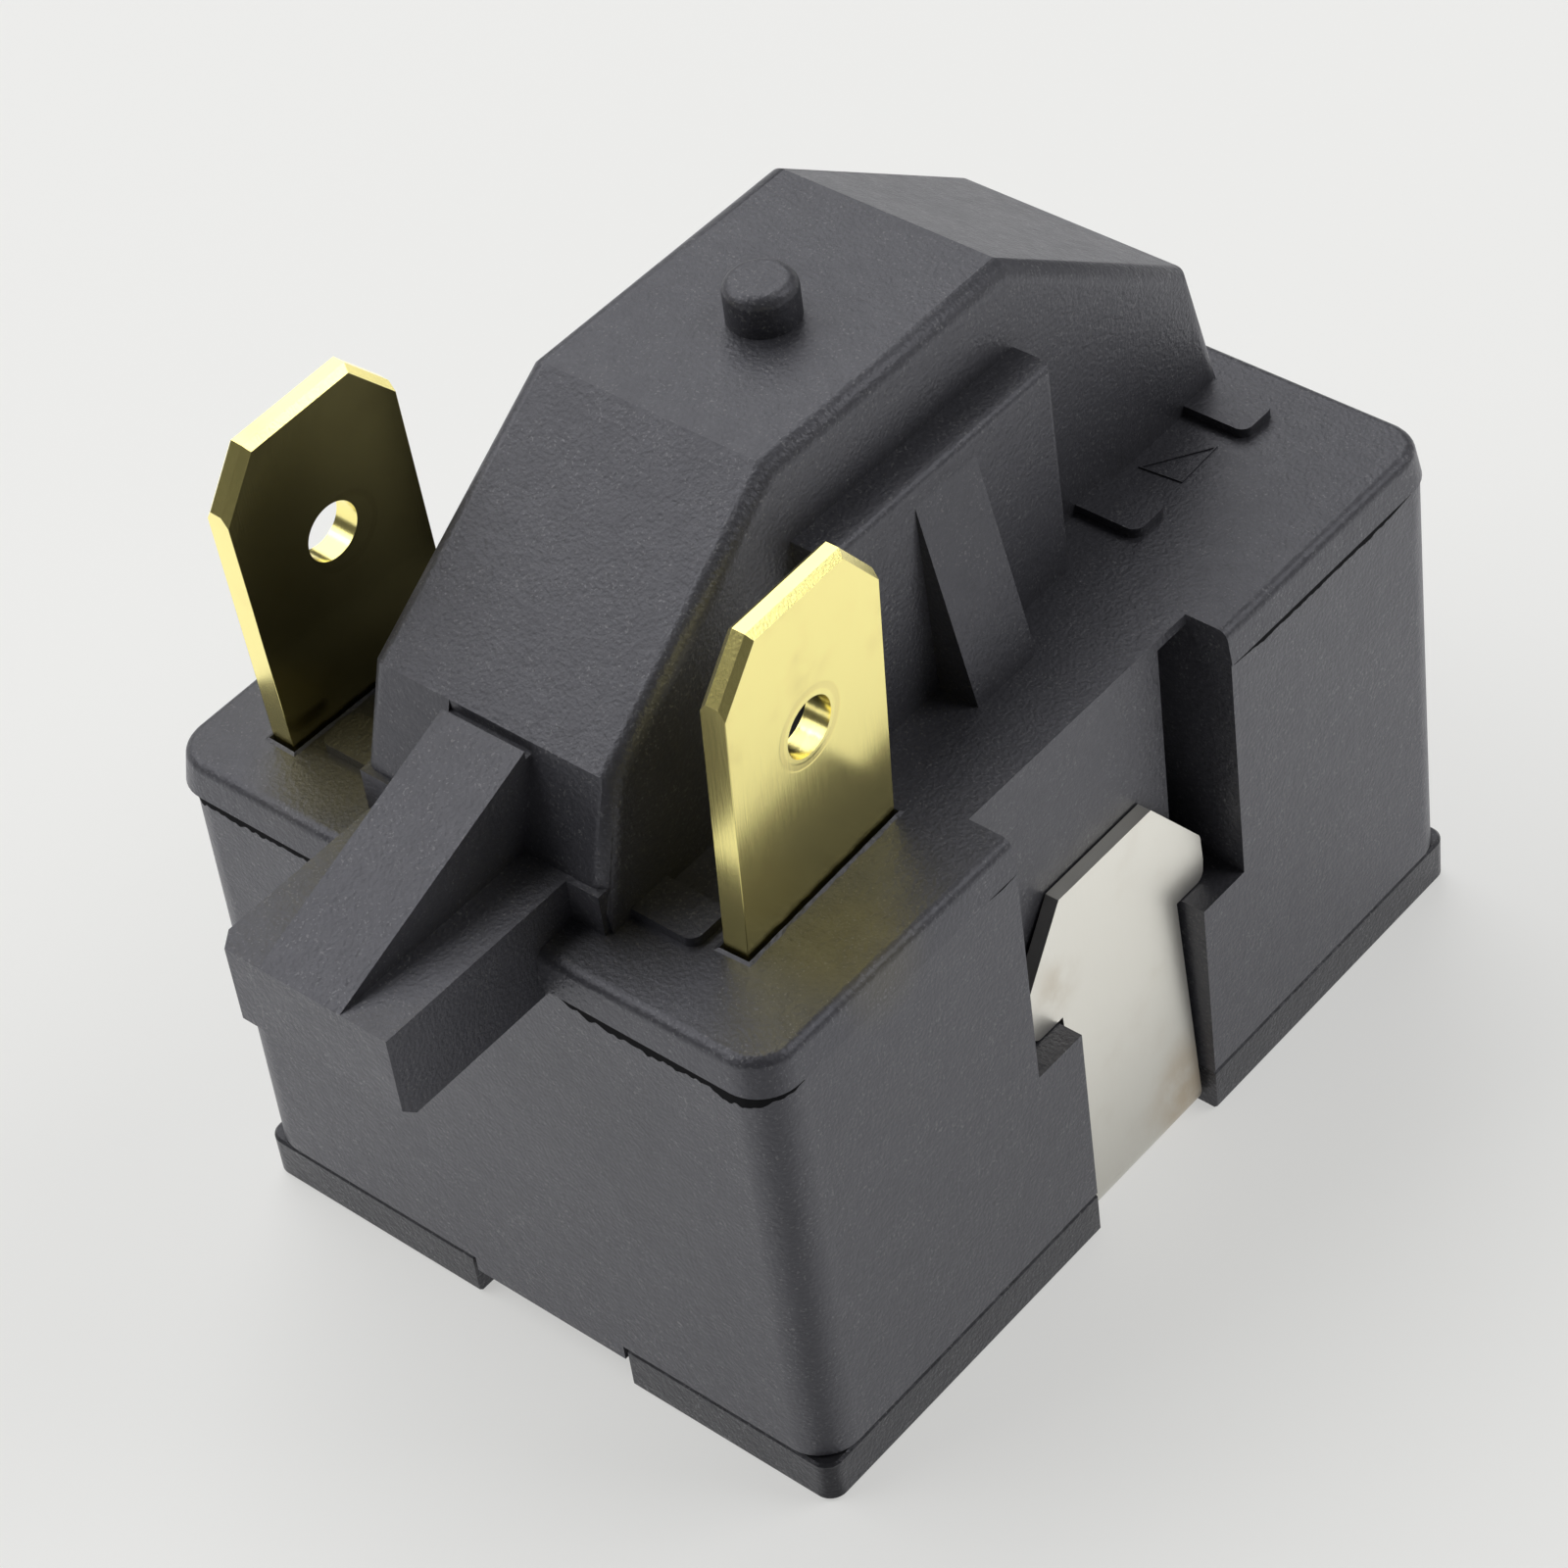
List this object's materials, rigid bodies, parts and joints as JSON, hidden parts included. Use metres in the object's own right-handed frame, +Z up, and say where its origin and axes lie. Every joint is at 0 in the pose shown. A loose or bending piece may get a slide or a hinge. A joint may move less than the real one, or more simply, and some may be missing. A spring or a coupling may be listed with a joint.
{
  "type": "compressor start relay",
  "caption": "Black moulded PTC start relay for a refrigerator compressor, with flat tabs on top, a humped housing and a clip strap round the base.",
  "frame": {"origin": "centre of the body's base face, on the plane the relay rests on", "axes": "+Z up from the base through the hump, +Y away from the ledge, +X towards the wall seen on the right with the ledge in front"},
  "size_m": [0.0219, 0.0351, 0.0285],
  "materials": {
    "housing_plastic": "matte charcoal moulding with a fine grain",
    "cover_plastic": "matte charcoal moulding",
    "strap_steel": "satin plated spring steel, lightly tarnished",
    "brass": "pale polished brass",
    "spring_steel": "plain spring steel",
    "disc_ceramic": "silvered ceramic disc"
  },
  "bodies": {
    "root": {"housing": "housing_plastic", "base_cover": "cover_plastic", "retaining_strap": "strap_steel", "terminal_blade_left": "brass", "terminal_blade_right": "brass", "pin_socket_left": "brass", "pin_socket_right": "brass", "contact_spring_left": "spring_steel", "contact_spring_right": "spring_steel", "terminal_rivets": "brass", "ptc_disc": "disc_ceramic"}
  },
  "joints": []
}
